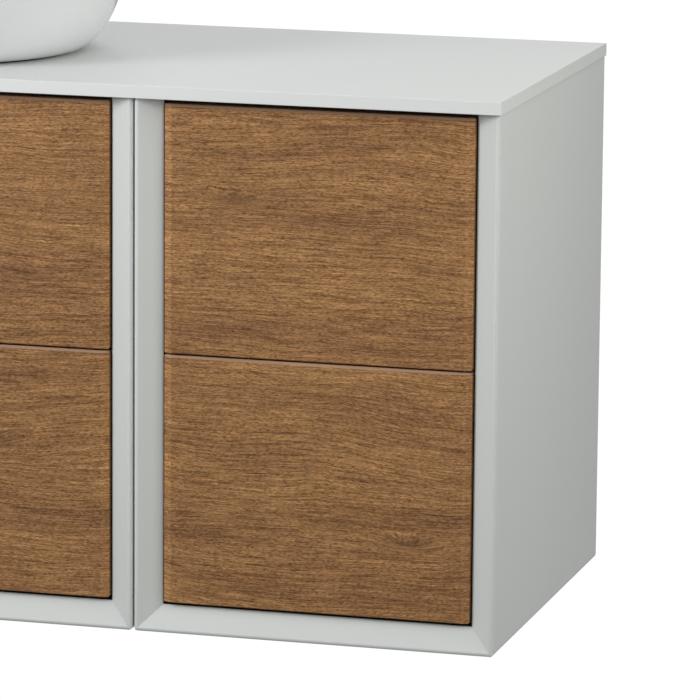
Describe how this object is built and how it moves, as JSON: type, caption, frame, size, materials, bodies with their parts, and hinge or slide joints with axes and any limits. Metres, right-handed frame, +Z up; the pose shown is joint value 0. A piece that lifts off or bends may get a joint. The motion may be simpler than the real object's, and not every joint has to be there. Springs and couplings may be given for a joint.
{
  "type": "wall-hung vanity with vessel sink",
  "caption": "Wall-hung bathroom vanity: a sink cabinet and a narrower side cabinet with oak drawers under a thin white countertop that carries a round vessel bowl.",
  "frame": {"origin": "on the wall plane, at the middle of the width, level with the underside of the cabinets", "axes": "+X to the right along the front, +Y into the wall, +Z up; the drawers open towards -Y"},
  "size_m": [1.004, 0.526, 0.7256],
  "materials": {
    "white_lacquer": "satin white lacquer on fibreboard panels",
    "top_lacquer": "satin white solid-surface countertop",
    "bowl_ceramic": "glossy white glaze",
    "oak_front": "matt oak with a horizontal grain",
    "drawer_board": "light grey laminated drawer boards",
    "carcass_inner": "anthracite melamine-faced chipboard",
    "runner_steel": "zinc-plated steel",
    "zinc_steel": "zinc-plated steel",
    "chrome": "polished chrome-plated brass",
    "gasket": "black rubber",
    "seal": "dark grey sealing strip"
  },
  "bodies": {
    "cabinet": {"countertop": "top_lacquer", "sink_bowl": "bowl_ceramic", "bowl_seal": "seal", "drain_body": "chrome", "drain_gasket_top": "gasket", "drain_gasket_lower": "gasket", "drain_locknut": "chrome", "trap_inlet": "chrome", "trap_inlet_nut": "chrome", "trap_body": "chrome", "trap_cup": "chrome", "outlet_nut": "chrome", "outlet_pipe": "chrome", "wall_rosette": "chrome", "sink_side_left": "white_lacquer", "sink_side_right": "white_lacquer", "sink_bottom": "white_lacquer", "sink_top_rails": "carcass_inner", "sink_back_panel": "carcass_inner", "sink_wall_rail": "zinc_steel", "side_side_left": "white_lacquer", "side_side_right": "white_lacquer", "side_bottom": "white_lacquer", "side_top_rails": "carcass_inner", "side_back_panel": "carcass_inner", "side_wall_rail": "zinc_steel", "hanger_brackets": "zinc_steel", "joint_seal": "seal", "connector_bolts": "zinc_steel", "countertop_screws": "zinc_steel", "sink_upper_outer_rails": "runner_steel", "sink_lower_outer_rails": "runner_steel", "side_upper_outer_rails": "runner_steel", "side_lower_outer_rails": "runner_steel"},
    "drain_plug": {"drain_plug": "chrome"},
    "sink_upper_drawer": {"sink_upper_front": "oak_front", "sink_upper_sides": "drawer_board", "sink_upper_back": "drawer_board", "sink_upper_base": "drawer_board", "sink_upper_inner_rails": "runner_steel", "sink_upper_cutout_walls": "drawer_board"},
    "sink_upper_middle_runners": {"sink_upper_middle_rails": "runner_steel"},
    "sink_lower_drawer": {"sink_lower_front": "oak_front", "sink_lower_sides": "drawer_board", "sink_lower_back": "drawer_board", "sink_lower_base": "drawer_board", "sink_lower_inner_rails": "runner_steel"},
    "sink_lower_middle_runners": {"sink_lower_middle_rails": "runner_steel"},
    "side_upper_drawer": {"side_upper_front": "oak_front", "side_upper_sides": "drawer_board", "side_upper_back": "drawer_board", "side_upper_base": "drawer_board", "side_upper_inner_rails": "runner_steel"},
    "side_upper_middle_runners": {"side_upper_middle_rails": "runner_steel"},
    "side_lower_drawer": {"side_lower_front": "oak_front", "side_lower_sides": "drawer_board", "side_lower_back": "drawer_board", "side_lower_base": "drawer_board", "side_lower_inner_rails": "runner_steel"},
    "side_lower_middle_runners": {"side_lower_middle_rails": "runner_steel"}
  },
  "joints": [
    {"name": "sink_upper_drawer_slide", "type": "slide", "parent": "cabinet", "child": "sink_upper_drawer", "axis": [0, -1, 0], "range_m": [-0.002, 0.38]},
    {"name": "sink_upper_runner_slide", "type": "slide", "parent": "cabinet", "child": "sink_upper_middle_runners", "axis": [0, -1, 0], "range_m": [-0.001, 0.19]},
    {"name": "sink_lower_drawer_slide", "type": "slide", "parent": "cabinet", "child": "sink_lower_drawer", "axis": [0, -1, 0], "range_m": [-0.002, 0.38]},
    {"name": "sink_lower_runner_slide", "type": "slide", "parent": "cabinet", "child": "sink_lower_middle_runners", "axis": [0, -1, 0], "range_m": [-0.001, 0.19]},
    {"name": "side_upper_drawer_slide", "type": "slide", "parent": "cabinet", "child": "side_upper_drawer", "axis": [0, -1, 0], "range_m": [-0.002, 0.38]},
    {"name": "side_upper_runner_slide", "type": "slide", "parent": "cabinet", "child": "side_upper_middle_runners", "axis": [0, -1, 0], "range_m": [-0.001, 0.19]},
    {"name": "side_lower_drawer_slide", "type": "slide", "parent": "cabinet", "child": "side_lower_drawer", "axis": [0, -1, 0], "range_m": [-0.002, 0.38]},
    {"name": "side_lower_runner_slide", "type": "slide", "parent": "cabinet", "child": "side_lower_middle_runners", "axis": [0, -1, 0], "range_m": [-0.001, 0.19]},
    {"name": "drain_plug_slide", "type": "slide", "parent": "cabinet", "child": "drain_plug", "axis": [0, 0, 1], "range_m": [0, 0.007]}
  ],
  "couplings": [
    {"joint": "sink_upper_runner_slide", "follows": "sink_upper_drawer_slide", "ratio": 0.5},
    {"joint": "sink_lower_runner_slide", "follows": "sink_lower_drawer_slide", "ratio": 0.5},
    {"joint": "side_upper_runner_slide", "follows": "side_upper_drawer_slide", "ratio": 0.5},
    {"joint": "side_lower_runner_slide", "follows": "side_lower_drawer_slide", "ratio": 0.5}
  ]
}
